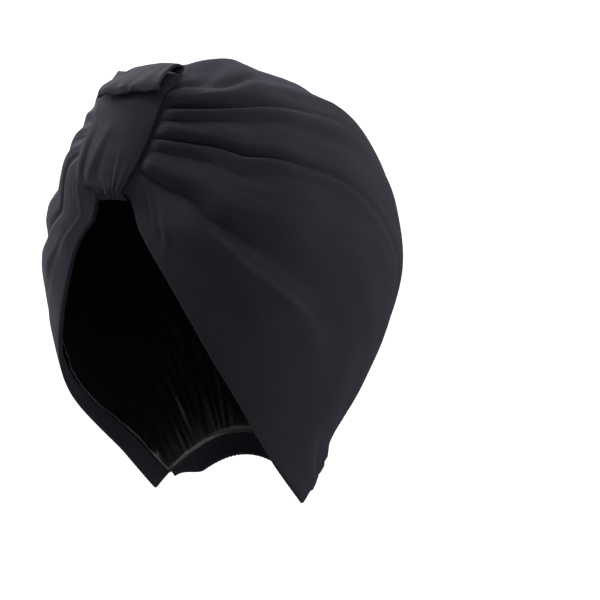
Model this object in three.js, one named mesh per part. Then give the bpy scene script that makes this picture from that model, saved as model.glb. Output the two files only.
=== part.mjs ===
// A lined turban headwrap with a gathered knot band over the forehead, in the form it keeps when worn.
// Millimetres, +Z up. The wearer faces -Y and +X is the wearer's left. The origin is the inside top
// of the lining, where the crown of the head bears.
import * as THREE from "three";
import { mergeVertices } from "three/addons/utils/BufferGeometryUtils.js";

// Cloth thicknesses and the small gaps between pieces.
const CROWN_WALL = 1.6;
const LINING_WALL = 1.0;
const LINING_GAP = 1.1;
const SEAT_GAP = 0.6;
const INSIDE_GAP = 1.2;
const STRAP_WALL = 1.8;
const TAIL_WALL = 1.8;

// The cloth's inner surface below its widest level, one row per level section.
const BODY_SECTIONS = [
  { level: -241, half_width: 52, front: 50, back: 41 },
  { level: -216, half_width: 55, front: 60, back: 49 },
  { level: -200, half_width: 61, front: 77, back: 57 },
  { level: -175, half_width: 73, front: 90, back: 76 },
  { level: -145, half_width: 81, front: 95, back: 98 },
  { level: -108, half_width: 85, front: 95, back: 115 },
];
// Above the widest level the same plan closes into a dome, fuller in front than behind.
const DOME = { level: -108, rise: 110.1, front_power: 2.1, back_power: 1.96 };
const DOME_BLEND = { start: -50, run: 130 };
const PLAN_POWER = { front: 2.6, back: 2.0 };

// Lines that guide the cloth from the knot to the nape, one row per station. Azimuths are degrees
// from straight ahead, and ridge_angle is measured over the top from straight ahead.
const STATIONS = [
  { hem_azimuth: 0, hem_level: -60, side_azimuth: 0, side_level: -35, ridge_angle: 66 },
  { hem_azimuth: 12, hem_level: -86, side_azimuth: 30, side_level: -54, ridge_angle: 88 },
  { hem_azimuth: 23.2, hem_level: -114, side_azimuth: 52, side_level: -68, ridge_angle: 114 },
  { hem_azimuth: 33.2, hem_level: -144, side_azimuth: 76, side_level: -82, ridge_angle: 142 },
  { hem_azimuth: 44, hem_level: -174, side_azimuth: 104, side_level: -106, ridge_angle: 171 },
  { hem_azimuth: 60, hem_level: -204, side_azimuth: 126, side_level: -152, ridge_angle: 202 },
  { hem_azimuth: 95, hem_level: -237, side_azimuth: 138, side_level: -212, ridge_angle: 244 },
];
// The hem lies closer to the head than the puffed body does.
const HEM_HUG = { depth: 1.5, reach: 0.3 };

// The bundle of pleats that the knot band squeezes, from the front hem up to the band's top edge.
const BUNDLE = {
  bottom: { y: -94.4, level: -60, recede: 2 },
  top: { y: -76.4, level: -10, recede: 5 },
  bow: 1.25,
  droop: 1.2,
  corner: 12 / 14,
  cap_start: 5,
  cap_run: 14,
  cap_rise: 0.38,
  edge: 0.07,
  merge_from: 0.063,
  merge_low: 0.13,
  merge_high: 0.27,
  merge_right: 0.9,
};
// Its half widths from the bottom up, on the wearer's left and right.
const BUNDLE_WIDTHS = [
  { up: 0, left: 7.2, right: 13.5 },
  { up: 0.08, left: 9.6, right: 24.5 },
  { up: 0.2, left: 11, right: 28.4 },
  { up: 0.42, left: 14, right: 29.4 },
  { up: 0.68, left: 16.6, right: 27 },
  { up: 1, left: 17.6, right: 26.4 },
];

// Fold lines, one row per crest or valley from the hem up to the middle of the crown. The paths are
// shares of the way from hem to middle, and the lifts are heights above the body, each beside the
// knot, at the temple, over the side and at the back.
const NEAR_FOLDS = [
  { name: "hem", path: [0, 0, 0, 0], lift: [0.3, 0, 0, 0] },
  { name: "hem_panel", path: [0.1, 0.12, 0.1, 0.1], lift: [1.2, 1, 1.2, 1] },
  { name: "low_ridge", path: [0.16, 0.3, 0.228, 0.2], lift: [2, 3.6, 3.2, 1.2] },
  { name: "deep_valley", path: [0.2, 0.365, 0.378, 0.32], lift: [0.4, 0.4, 0.8, 1.2] },
  { name: "broad_bulge", path: [0.3, 0.45, 0.492, 0.46], lift: [5.5, 6.5, 4.8, 2.6] },
  { name: "under_valley", path: [0.39, 0.535, 0.615, 0.59], lift: [2, 2.4, 2.9, 2.2] },
  { name: "thin_ridge", path: [0.462, 0.588, 0.64, 0.62], lift: [3.6, 4.2, 3.5, 2.3] },
  { name: "split_valley", path: [0.495, 0.61, 0.652, 0.645], lift: [2.2, 2.6, 3, 2.3] },
  { name: "upper_ridge", path: [0.562, 0.642, 0.668, 0.67], lift: [5, 5.8, 4.6, 2.7] },
  { name: "shallow_valley", path: [0.65, 0.708, 0.738, 0.72], lift: [1.6, 2.6, 2.9, 2.1] },
  { name: "top_ridge", path: [0.72, 0.742, 0.771, 0.77], lift: [4.8, 5.2, 4.2, 2.7] },
  { name: "black_valley", path: [0.757, 0.763, 0.792, 0.81], lift: [2.2, 2.8, 2.9, 2.1] },
  { name: "crown_pleat", path: [0.85, 0.808, 0.822, 0.87], lift: [4.8, 4.6, 2.2, 2.8] },
  { name: "peak_valley", path: [0.89, 0.862, 0.885, 0.94], lift: [1.2, 1.8, 0.6, 2.6] },
  { name: "middle", path: [1, 1, 1, 1], lift: [1, 2.8, 0.4, 3] },
];
const FAR_FOLDS = [
  { name: "hem", path: [0, 0, 0, 0], lift: [0.3, 0, 0, 0] },
  { name: "hem_panel", path: [0.12, 0.11, 0.1, 0.1], lift: [0.8, 1, 1.2, 1] },
  { name: "low_ridge", path: [0.25, 0.25, 0.21, 0.2], lift: [0.6, 1.6, 3, 1.4] },
  { name: "deep_valley", path: [0.31, 0.31, 0.3, 0.29], lift: [0, 0, 0.8, 1.2] },
  { name: "broad_bulge", path: [0.4, 0.41, 0.42, 0.43], lift: [0.8, 2.2, 4.4, 2.8] },
  { name: "under_valley", path: [0.475, 0.49, 0.51, 0.52], lift: [0, 0, 2.2, 2.2] },
  { name: "thin_ridge", path: [0.55, 0.56, 0.57, 0.57], lift: [1.4, 2.2, 3.6, 2.4] },
  { name: "split_valley", path: [0.62, 0.62, 0.625, 0.63], lift: [0, 0, 2.4, 2.2] },
  { name: "upper_ridge", path: [0.69, 0.685, 0.68, 0.68], lift: [1, 2.2, 4.2, 2.8] },
  { name: "shallow_valley", path: [0.75, 0.74, 0.735, 0.74], lift: [0, 0.8, 2.6, 2] },
  { name: "top_ridge", path: [0.81, 0.79, 0.785, 0.79], lift: [2, 3, 4.2, 2.8] },
  { name: "black_valley", path: [0.86, 0.84, 0.83, 0.84], lift: [0.2, 1.6, 2.8, 2] },
  { name: "crown_pleat", path: [0.92, 0.895, 0.88, 0.89], lift: [2.6, 3, 2.2, 2.8] },
  { name: "peak_valley", path: [0.965, 0.95, 0.94, 0.95], lift: [0.8, 1.8, 0.6, 2.6] },
  { name: "middle", path: [1, 1, 1, 1], lift: [1, 2.8, 0.4, 3] },
];
const FOLD_PLACES = [0.08, 0.2, 0.42, 0.78];
const FOLD_RISE = 0.05;
const NAPE_GATHER = { start: 0.84, lift: 1.6 };

// Rows of facets from the knot to the nape.
const CROWN_ROWS = [
  0, 0.035, 0.07, 0.1, 0.135, 0.175, 0.22, 0.27, 0.325, 0.385, 0.45, 0.515, 0.58, 0.645, 0.705, 0.76,
  0.81, 0.86, 0.905, 0.95, 1,
];
const LINING_ROWS = [
  0, 0.035, 0.07, 0.1, 0.135, 0.19, 0.26, 0.34, 0.43, 0.52, 0.61, 0.7, 0.79, 0.86, 0.91, 0.955, 1,
];

// The strap of the knot: inside the hem, under it, up over the bundle and back along the top.
const STRAP = {
  inside_share: 0.2,
  turn_width: 0.82,
  top_run: 12,
  top_seat: 0.4,
  corner_reach: 1.15,
  creases: 3,
  crease_lift: 0.9,
  rows: { inside: 2, turn: 6, face: 7, top: 3 },
  across: 10,
};

// The tail folded forward over the band, as its two side edges from the front lip to the underside.
const TAIL_RIGHT_WIDTH = 23.5;
const TAIL_EDGES = [
  { name: "lip", right_y: -81.2, right_z: -10.8, left_y: -79, left_z: -5.4, left_width: 18.4 },
  { name: "shoulder", right_y: -77.5, right_z: -5.6, left_y: -75.6, left_z: -1.8, left_width: 18.4 },
  { name: "middle", right_y: -63, right_z: -0.4, left_y: -66.5, left_z: 2, left_width: 18.4 },
  { name: "back", right_y: -50, right_z: 3, left_y: -58, left_z: 6, left_width: 18.4 },
  { name: "turn", right_y: -46.6, right_z: 2.6, left_y: -54, left_z: 5, left_width: 18.4 },
  { name: "return", right_y: -50.5, right_z: 0.9, left_y: -57.6, left_z: 2, left_width: 18.4 },
];
const TAIL_BULGE = { depth: 2.6, lip_share: 0.4 };
const TAIL_GRID = { along: 12, across: 8 };

// The gathered casing at the nape, which holds the elastic.
const CASING = {
  start: 0.12,
  ramp: 0.2,
  seat: 0.7,
  height: 12,
  end_height: 4,
  wall: 2.6,
  ruffle: 1.4,
  tuck: 0.4,
  rows: 4,
};

const JERSEY = { color: 0x1c1c24, roughness: 0.9, metalness: 0 };
const SATIN = { color: 0x0b0b0d, roughness: 0.28, metalness: 0 };

const clamp01 = (x) => Math.min(1, Math.max(0, x));
const lerp = (a, b, k) => a + (b - a) * k;
const smooth = (x) => clamp01(x) ** 2 * (3 - 2 * clamp01(x));
const radians = THREE.MathUtils.degToRad;

// Reads a smooth curve through the values at the given places, level past both ends.
function curveAt(places, values, where) {
  const last = places.length - 1;
  const at = Math.min(places[last], Math.max(places[0], where));
  let i = 0;
  while (i < last - 1 && at > places[i + 1]) i += 1;
  const slope = (k) => {
    if (k === 0 || k === last) return 0;
    return (values[k + 1] - values[k - 1]) / (places[k + 1] - places[k - 1]);
  };
  const step = places[i + 1] - places[i];
  const u = (at - places[i]) / step;
  const rise = u * u * (3 - 2 * u);
  const leave = u * (1 - u) * (1 - u) * step * slope(i);
  const arrive = u * u * (u - 1) * step * slope(i + 1);
  return lerp(values[i], values[i + 1], rise) + leave + arrive;
}

const SECTION_LEVELS = BODY_SECTIONS.map((row) => row.level);
function sectionAt(level) {
  const read = (name) => curveAt(SECTION_LEVELS, BODY_SECTIONS.map((row) => row[name]), level);
  return { half_width: read("half_width"), front: read("front"), back: read("back") };
}

function domePower(y) {
  return lerp(DOME.front_power, DOME.back_power, smooth((y - DOME_BLEND.start) / DOME_BLEND.run));
}

// Moves a point outward onto the body: level below the dome's base, from its middle above it.
function ontoBody(point) {
  const size = sectionAt(Math.min(point.z, DOME.level));
  const depth = point.y < 0 ? size.front : size.back;
  const power = point.y < 0 ? PLAN_POWER.front : PLAN_POWER.back;
  const wide = Math.abs(point.x / size.half_width) ** power;
  const deep = Math.abs(point.y / depth) ** power;
  const plan = Math.max(1e-6, (wide + deep) ** (1 / power));
  const rise = Math.max(0, point.z - DOME.level) / DOME.rise;
  const dome = domePower(point.y);
  const scale = 1 / (plan ** dome + rise ** dome) ** (1 / dome);
  const z = point.z > DOME.level ? lerp(DOME.level, point.z, scale) : point.z;
  return new THREE.Vector3(point.x * scale, point.y * scale, z);
}

function bodyPoint(azimuth, level) {
  const turn = radians(azimuth);
  const rim = ontoBody(new THREE.Vector3(Math.sin(turn), -Math.cos(turn), Math.min(level, DOME.level)));
  const rise = Math.max(0, level - DOME.level) / DOME.rise;
  const dome = domePower(rim.y);
  const shrink = (1 - rise ** dome) ** (1 / dome);
  return new THREE.Vector3(rim.x * shrink, rim.y * shrink, level);
}

// A point of the crown's middle line, found by walking out from the dome's middle.
function ridgePoint(angle) {
  const turn = radians(angle);
  let near = 1;
  let far = 300;
  for (let i = 0; i < 40; i += 1) {
    const middle = (near + far) / 2;
    const tried = new THREE.Vector3(0, -Math.cos(turn) * middle, DOME.level + Math.sin(turn) * middle);
    const body = ontoBody(tried);
    const inside = Math.abs(tried.y) < Math.abs(body.y) || tried.z < body.z;
    if (inside) near = middle;
    else far = middle;
  }
  return new THREE.Vector3(0, -Math.cos(turn) * near, DOME.level + Math.sin(turn) * near);
}

const HEM_GUIDE = STATIONS.map((row) => bodyPoint(row.hem_azimuth, row.hem_level));
const SIDE_GUIDE = STATIONS.map((row) => bodyPoint(row.side_azimuth, row.side_level));
const RIDGE_GUIDE = STATIONS.map((row) => ridgePoint(row.ridge_angle));

// A uniform Catmull-Rom curve through the guide points.
function guideAt(points, along) {
  const last = points.length - 1;
  const i = Math.min(last - 1, Math.floor(along * last));
  const u = along * last - i;
  const b = points[i];
  const c = points[i + 1];
  const a = i > 0 ? points[i - 1] : b.clone().multiplyScalar(2).sub(c);
  const d = i + 2 <= last ? points[i + 2] : c.clone().multiplyScalar(2).sub(b);
  const mix = (p, q, r, s) => {
    const cubic = (3 * q - p - 3 * r + s) * u * u * u;
    const square = (2 * p - 5 * q + 4 * r - s) * u * u;
    return (2 * q + (r - p) * u + square + cubic) / 2;
  };
  return new THREE.Vector3(mix(a.x, b.x, c.x, d.x), mix(a.y, b.y, c.y, d.y), mix(a.z, b.z, c.z, d.z));
}

const BUNDLE_UPS = BUNDLE_WIDTHS.map((row) => row.up);
// The squeezed bundle: its face rises to the corner, and past it the cloth fans back over the top.
function bundlePoint(side, share, onLeft) {
  const up = Math.min(1, share / BUNDLE.corner);
  const over = clamp01((share - BUNDLE.corner) / (1 - BUNDLE.corner)) * (Math.PI / 2);
  const { bottom, top } = BUNDLE;
  const half = curveAt(BUNDLE_UPS, BUNDLE_WIDTHS.map((row) => (onLeft ? row.left : row.right)), up);
  const back = (BUNDLE.cap_start + BUNDLE.cap_run * side) * Math.sin(over);
  const recede = lerp(bottom.recede, top.recede, up) * side * side * Math.cos(over);
  const droop = BUNDLE.droop * side * side * (1 - up);
  const y = lerp(bottom.y, top.y, up ** BUNDLE.bow) + recede + back;
  const z = lerp(bottom.level, top.level, up) - droop + BUNDLE.cap_rise * back;
  return new THREE.Vector3(half * side * Math.cos(over), y, z);
}

// The cloth's inner surface, drawn for both sides with x from the middle out: along runs from the
// knot to the nape, and share from the hem to the middle of the crown.
function clothPoint(along, share, onLeft) {
  const hem = guideAt(HEM_GUIDE, along);
  const side = guideAt(SIDE_GUIDE, along);
  const ridge = guideAt(RIDGE_GUIDE, along);
  const arch = hem.multiplyScalar((1 - share) * (1 - 2 * share));
  arch.addScaledVector(side, 4 * share * (1 - share)).addScaledVector(ridge, share * (2 * share - 1));
  const body = ontoBody(arch);
  const hug = HEM_HUG.depth * Math.sin(Math.PI * along) * (1 - smooth(share / HEM_HUG.reach));
  const inward = 1 - hug / Math.hypot(body.x, body.y, 1);
  body.x *= inward;
  body.y *= inward;
  const sooner = onLeft ? 1 : BUNDLE.merge_right;
  const merge = lerp(BUNDLE.merge_low, BUNDLE.merge_high, smooth(2 * share)) * sooner;
  if (along >= merge) return body;
  const bundle = bundlePoint(along / BUNDLE.edge, share, onLeft);
  const start = BUNDLE.merge_from;
  return bundle.lerp(body, smooth((along - start) / (merge - start)));
}

// The outward direction of the cloth, shared by both sides on the middle lines.
function clothNormal(along, share, onLeft) {
  if (along > 0 && share < 1) return sideNormal(along, share, onLeft);
  const shared = sideNormal(along, share, true).add(sideNormal(along, share, false));
  return shared.setX(0).normalize();
}

function sideNormal(along, share, onLeft) {
  const step = 0.004;
  const s = Math.min(1 - step, Math.max(step, along));
  const t = Math.min(1 - step, Math.max(step, share));
  const forward = clothPoint(s + step, t, onLeft).sub(clothPoint(s - step, t, onLeft));
  const upward = clothPoint(s, t + step, onLeft).sub(clothPoint(s, t - step, onLeft));
  return forward.cross(upward).normalize();
}

// The share of the way up and the lift of one column of facets: even columns are fold lines, and
// odd ones lie half-way between two of them.
function foldAt(folds, column, along) {
  const lines = column % 2 ? [(column - 1) / 2, (column + 1) / 2] : [column / 2];
  const mean = (read) => lines.reduce((sum, i) => sum + read(folds[i]), 0) / lines.length;
  const even = column / (2 * (folds.length - 1));
  const path = mean((row) => curveAt(FOLD_PLACES, row.path, along));
  const share = lerp(even, path, smooth(along / BUNDLE.edge));
  const nape = smooth((along - NAPE_GATHER.start) / (1 - NAPE_GATHER.start));
  const gather = column % 2 || column === 0 ? 0 : NAPE_GATHER.lift;
  const free = smooth((along - BUNDLE.edge) / FOLD_RISE);
  const lift = mean((row) => curveAt(FOLD_PLACES, row.lift, along)) * free;
  return { share, lift: lerp(Math.max(0, lift), gather, nape) };
}

// A grid over the whole cap: rows run from knot to nape and columns from the left hem over the
// middle to the right hem. The offset is from the cloth's inner surface, and lifted adds the folds.
function capGrid(rows, columnStep, offset, lifted) {
  const half = 2 * (NEAR_FOLDS.length - 1);
  return rows.map((along) => {
    const line = [];
    for (let column = 0; column <= 2 * half; column += columnStep) {
      const near = column <= half;
      const own = near ? column : 2 * half - column;
      const { share, lift } = foldAt(near ? NEAR_FOLDS : FAR_FOLDS, own, along);
      const point = clothPoint(along, share, near);
      point.addScaledVector(clothNormal(along, share, near), offset + (lifted ? lift : 0));
      if (along === 0 || own === half) point.x = 0;
      if (!near) point.x = -point.x;
      line.push(point);
    }
    return line;
  });
}

// One closed body from triangles given as points, with shared corners merged.
function bodyOf(triangles) {
  const positions = new Float32Array(triangles.length * 9);
  triangles.flat().forEach((point, i) => point.toArray(positions, 3 * i));
  const loose = new THREE.BufferGeometry();
  loose.setAttribute("position", new THREE.BufferAttribute(positions, 3));
  const merged = mergeVertices(loose, 1e-3);
  const index = Array.from(merged.index.array);
  const kept = [];
  for (let i = 0; i < index.length; i += 3) {
    const [a, b, c] = index.slice(i, i + 3);
    if (a !== b && b !== c && c !== a) kept.push(a, b, c);
  }
  merged.setIndex(kept);
  return merged;
}

const quad = (a, b, c, d) => [
  [a, b, c],
  [a, c, d],
];

// Both faces of a sheet between two grids, without its rim.
function facesOf(outer, inner) {
  const made = [];
  for (let i = 0; i < outer.length - 1; i += 1) {
    for (let j = 0; j < outer[i].length - 1; j += 1) {
      made.push(...quad(outer[i][j], outer[i + 1][j], outer[i + 1][j + 1], outer[i][j + 1]));
      made.push(...quad(inner[i][j + 1], inner[i + 1][j + 1], inner[i + 1][j], inner[i][j]));
    }
  }
  return made;
}

// Closes a rim that runs along matching lines of points on the outer and inner face.
function rimOf(outerLine, innerLine) {
  const made = [];
  for (let i = 0; i < outerLine.length - 1; i += 1) {
    made.push(...quad(outerLine[i], innerLine[i], innerLine[i + 1], outerLine[i + 1]));
  }
  return made;
}

const columnOf = (grid, j) => grid.map((row) => row[j]);

// A cap wall: its first row folds onto itself under the knot band, so only three sides have a rim.
function capWall(rows, columnStep, inner, outer, lifted) {
  const outside = capGrid(rows, columnStep, outer, lifted);
  const inside = capGrid(rows, columnStep, inner, lifted);
  const last = outside.length - 1;
  const end = outside[0].length - 1;
  const rims = [
    ...rimOf(columnOf(outside, 0), columnOf(inside, 0)),
    ...rimOf(outside[last], inside[last]),
    ...rimOf(columnOf(inside, end), columnOf(outside, end)),
  ];
  return bodyOf([...facesOf(outside, inside), ...rims]);
}

// A sheet with a rim on all four sides, from its middle surface and its thickness. The grid's rows
// run along the sheet and its columns across it.
function thickSheet(middle, wall) {
  const last = middle.length - 1;
  const end = middle[0].length - 1;
  const shifted = (amount) =>
    middle.map((row, i) =>
      row.map((point, j) => {
        const ahead = middle[Math.min(last, i + 1)][j].clone().sub(middle[Math.max(0, i - 1)][j]);
        const across = row[Math.min(end, j + 1)].clone().sub(row[Math.max(0, j - 1)]);
        return point.clone().addScaledVector(ahead.cross(across).normalize(), amount);
      }),
    );
  const outside = shifted(wall / 2);
  const inside = shifted(-wall / 2);
  return bodyOf([
    ...facesOf(outside, inside),
    ...rimOf(columnOf(outside, 0), columnOf(inside, 0)),
    ...rimOf(outside[last], inside[last]),
    ...rimOf(columnOf(inside, end), columnOf(outside, end)),
    ...rimOf(inside[0], outside[0]),
  ]);
}

// The strap's middle surface. Its face runs clear of the crown and its inside run clear of the lining.
function strapMiddle() {
  const outside = CROWN_WALL + SEAT_GAP + STRAP_WALL / 2;
  const inside = -(LINING_GAP + LINING_WALL + INSIDE_GAP + STRAP_WALL / 2);
  const radius = (outside - inside) / 2;
  const { bottom, top } = BUNDLE;
  const lean = Math.atan2(top.y - bottom.y, top.level - bottom.level);
  const outward = new THREE.Vector3(0, -Math.cos(lean), Math.sin(lean));
  const rows = [];
  const addRow = (share, shift, lift, width = 1) => {
    const row = [];
    for (let j = 0; j <= STRAP.across; j += 1) {
      const side = 1 - (2 * j) / STRAP.across;
      const point = bundlePoint(Math.abs(side) * width, share, side > 0);
      point.x *= Math.sign(side);
      const crease = lift * STRAP.crease_lift * (1 - Math.cos(STRAP.creases * Math.PI * side) ** 2);
      row.push(point.add(shift).addScaledVector(outward, crease));
    }
    rows.push(row);
  };
  for (let i = 0; i <= STRAP.rows.inside; i += 1) {
    const share = STRAP.inside_share * (1 - i / STRAP.rows.inside);
    addRow(share, outward.clone().multiplyScalar(inside), 0, STRAP.turn_width);
  }
  for (let i = 1; i < STRAP.rows.turn; i += 1) {
    const turn = (Math.PI * i) / STRAP.rows.turn;
    const shift = outward.clone().multiplyScalar((outside + inside) / 2 - radius * Math.cos(turn));
    addRow(0, shift.add(new THREE.Vector3(0, 0, -radius * Math.sin(turn))), 0, STRAP.turn_width);
  }
  for (let i = 0; i <= STRAP.rows.face; i += 1) {
    const up = i / STRAP.rows.face;
    const width = i > 0 ? 1 : STRAP.turn_width;
    addRow(BUNDLE.corner * up, outward.clone().multiplyScalar(outside), Math.sin(Math.PI * up), width);
  }
  const slope = Math.atan(BUNDLE.cap_rise);
  const above = new THREE.Vector3(0, -Math.sin(slope), Math.cos(slope));
  const between = outward.clone().add(above).normalize();
  addRow(BUNDLE.corner, between.clone().multiplyScalar(outside * STRAP.corner_reach), 0);
  const back = new THREE.Vector3(0, Math.cos(slope), Math.sin(slope));
  for (let i = 0; i <= STRAP.rows.top; i += 1) {
    const run = (STRAP.top_run * i) / STRAP.rows.top;
    const shift = above.clone().multiplyScalar(outside + STRAP.top_seat);
    addRow(BUNDLE.corner, shift.addScaledVector(back, run), 0);
  }
  return rows;
}

// The tail's middle surface: its two side edges are drawn as curves, and it bulges between them.
function tailMiddle() {
  const places = TAIL_EDGES.map((row, i) => i / (TAIL_EDGES.length - 1));
  const read = (name, at) => curveAt(places, TAIL_EDGES.map((row) => row[name]), at);
  const rows = [];
  for (let i = 0; i <= TAIL_GRID.along; i += 1) {
    const at = i / TAIL_GRID.along;
    const row = [];
    for (let j = 0; j <= TAIL_GRID.across; j += 1) {
      const side = 1 - (2 * j) / TAIL_GRID.across;
      const toLeft = (side + 1) / 2;
      const bulge = TAIL_BULGE.depth * (1 - side * side);
      const upward = bulge * lerp(TAIL_BULGE.lip_share, 1, at);
      const y = lerp(read("right_y", at), read("left_y", at), toLeft) - bulge * (1 - at);
      const z = lerp(read("right_z", at), read("left_z", at), toLeft) + upward;
      const half = side > 0 ? read("left_width", at) : TAIL_RIGHT_WIDTH;
      row.push(new THREE.Vector3(half * side, y, z));
    }
    rows.push(row);
  }
  return rows;
}

// The casing hangs from the nape edge of the crown and the lining, ruffled between the gathers.
function casingMiddle() {
  const half = 2 * (NEAR_FOLDS.length - 1);
  const rim = [];
  for (let column = 0; column <= 2 * half; column += 1) {
    const near = column <= half;
    const own = near ? column : 2 * half - column;
    const { share } = foldAt(near ? NEAR_FOLDS : FAR_FOLDS, own, 1);
    if (share < CASING.start) continue;
    const point = clothPoint(1, share, near);
    const onward = point.clone().sub(clothPoint(0.99, share, near)).normalize();
    const out = clothNormal(1, share, near);
    if (own === half) onward.x = 0;
    if (!near) [point, onward, out].forEach((vector) => vector.setX(-vector.x));
    rim.push({ point, onward, out, share, fold: column % 2 ? 1 : 0 });
  }
  const rows = [];
  for (let i = 0; i <= CASING.rows; i += 1) {
    const drop = i / CASING.rows;
    rows.push(
      rim.map(({ point, onward, out, share, fold }) => {
        const full = smooth((share - CASING.start) / CASING.ramp);
        const height = lerp(CASING.end_height, CASING.height, full);
        const ruffle = CASING.ruffle * full * Math.sin(Math.PI * drop) * (fold ? 1 : -CASING.tuck);
        const moved = point.clone().addScaledVector(onward, CASING.seat + height * drop);
        return moved.addScaledVector(out, CROWN_WALL / 2 + ruffle);
      }),
    );
  }
  return rows;
}

const wrap = new THREE.Group();
function addPiece(name, geometry, finish) {
  const piece = new THREE.Mesh(geometry, new THREE.MeshStandardMaterial(finish));
  piece.name = name;
  wrap.add(piece);
}

addPiece("crown", capWall(CROWN_ROWS, 1, 0, CROWN_WALL, true), JERSEY);
const liningOutside = -LINING_GAP;
const liningInside = -(LINING_GAP + LINING_WALL);
addPiece("lining", capWall(LINING_ROWS, 2, liningInside, liningOutside, false), SATIN);
addPiece("knot_band", thickSheet(strapMiddle(), STRAP_WALL), JERSEY);
addPiece("band_tail", thickSheet(tailMiddle(), TAIL_WALL), JERSEY);
addPiece("nape_casing", thickSheet(casingMiddle(), CASING.wall), JERSEY);

export default wrap;
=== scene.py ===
"""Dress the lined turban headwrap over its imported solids.

Every piece is cloth. The outer jersey, the lining, the knot band, the folded tail and the nape
casing are drawn as fine grids on the same surfaces as the solids, given their folds, hems, gathers
and wrinkles by functions, and finished as knitted jersey and satin. Lengths are in millimetres
until a mesh is made, and the axes are the solids' own: +Z up, -Y the way the wearer faces.
"""

import logging
import math
from dataclasses import dataclass, field
from enum import Enum
from typing import Callable, ClassVar, NamedTuple, Optional, Sequence

import bpy
import numpy as np
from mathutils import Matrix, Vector

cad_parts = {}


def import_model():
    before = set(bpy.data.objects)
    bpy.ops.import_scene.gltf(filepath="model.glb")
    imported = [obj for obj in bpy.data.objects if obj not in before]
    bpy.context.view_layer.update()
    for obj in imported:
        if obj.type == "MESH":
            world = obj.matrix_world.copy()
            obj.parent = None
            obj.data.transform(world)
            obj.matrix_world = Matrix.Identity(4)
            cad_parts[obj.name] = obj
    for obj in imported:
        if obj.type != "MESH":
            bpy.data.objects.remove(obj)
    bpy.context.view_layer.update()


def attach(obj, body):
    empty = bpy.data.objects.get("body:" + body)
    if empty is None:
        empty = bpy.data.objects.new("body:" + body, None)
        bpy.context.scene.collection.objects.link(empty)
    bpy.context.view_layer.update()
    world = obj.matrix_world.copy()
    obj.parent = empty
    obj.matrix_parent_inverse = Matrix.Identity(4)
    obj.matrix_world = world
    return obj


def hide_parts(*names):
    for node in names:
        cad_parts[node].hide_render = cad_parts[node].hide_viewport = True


LOG = logging.getLogger("turban")
MM = 0.001
BODY = "root"
Run = tuple[float, float]  # where a change starts along a line, and how far it takes


# Curves and small helpers


def smooth(x: np.ndarray) -> np.ndarray:
    """Ease from 0 to 1, level outside."""
    t = np.clip(x, 0.0, 1.0)
    return t * t * (3.0 - 2.0 * t)


def ease(x: np.ndarray, run: Run) -> np.ndarray:
    """Ease from 0 to 1 over a run."""
    return smooth((x - run[0]) / run[1])


def lerp(a: np.ndarray, b: np.ndarray, k: np.ndarray) -> np.ndarray:
    """Blend two values or arrays."""
    return a + (b - a) * k


def bell(x: np.ndarray) -> np.ndarray:
    """A rounded bump of height 1 at 0, gone by about 2."""
    return np.exp(-(x**2))


def unit(vectors: np.ndarray) -> np.ndarray:
    """Scale vectors to length 1 along their last axis."""
    return vectors / np.maximum(np.linalg.norm(vectors, axis=-1, keepdims=True), 1e-9)


def curve_at(places: Sequence[float], values: Sequence[float], where: np.ndarray) -> np.ndarray:
    """Read a smooth curve through values at places, level past both ends.

    Args:
        places: Rising positions of the values.
        values: One number per place.
        where: Positions to read.

    Returns:
        The curve's values, in the shape of where.
    """
    xs = np.asarray(places, float)
    ys = np.asarray(values, float)
    at = np.clip(where, xs[0], xs[-1])
    i = np.clip(np.searchsorted(xs, at, side="left") - 1, 0, len(xs) - 2)
    slopes = np.zeros_like(ys)
    slopes[1:-1] = (ys[2:] - ys[:-2]) / (xs[2:] - xs[:-2])
    step = xs[i + 1] - xs[i]
    u = (at - xs[i]) / step
    leave = u * (1 - u) ** 2 * step * slopes[i]
    arrive = u * u * (u - 1) * step * slopes[i + 1]
    return lerp(ys[i], ys[i + 1], u * u * (3 - 2 * u)) + leave + arrive


def chain(points: np.ndarray, along: np.ndarray) -> np.ndarray:
    """Read a uniform Catmull-Rom curve through guide points.

    Args:
        points: Guide points, one per row.
        along: Places from 0 to 1.

    Returns:
        Points on the curve, in the shape of along with a last axis of 3.
    """
    last = len(points) - 1
    padded = np.vstack([2 * points[0] - points[1], points, 2 * points[-1] - points[-2]])
    i = np.clip(np.floor(along * last).astype(int), 0, last - 1)
    u = (along * last - i)[..., None]
    p, q, r, s = (padded[i + k] for k in range(4))
    cubic = (3 * q - p - 3 * r + s) * u**3
    square = (2 * p - 5 * q + 4 * r - s) * u**2
    return (2 * q + (r - p) * u + square + cubic) / 2


# The cloth's base surface


class Section(NamedTuple):
    """A level section of the cloth's inner surface."""

    level: float
    half_width: float
    front: float
    back: float


class Station(NamedTuple):
    """Where the guide lines pass, from the knot to the nape."""

    hem_azimuth: float
    hem_level: float
    side_azimuth: float
    side_level: float
    ridge_angle: float


class BundleWidth(NamedTuple):
    """Half widths of the squeezed bundle at one height."""

    up: float
    left: float
    right: float


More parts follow.
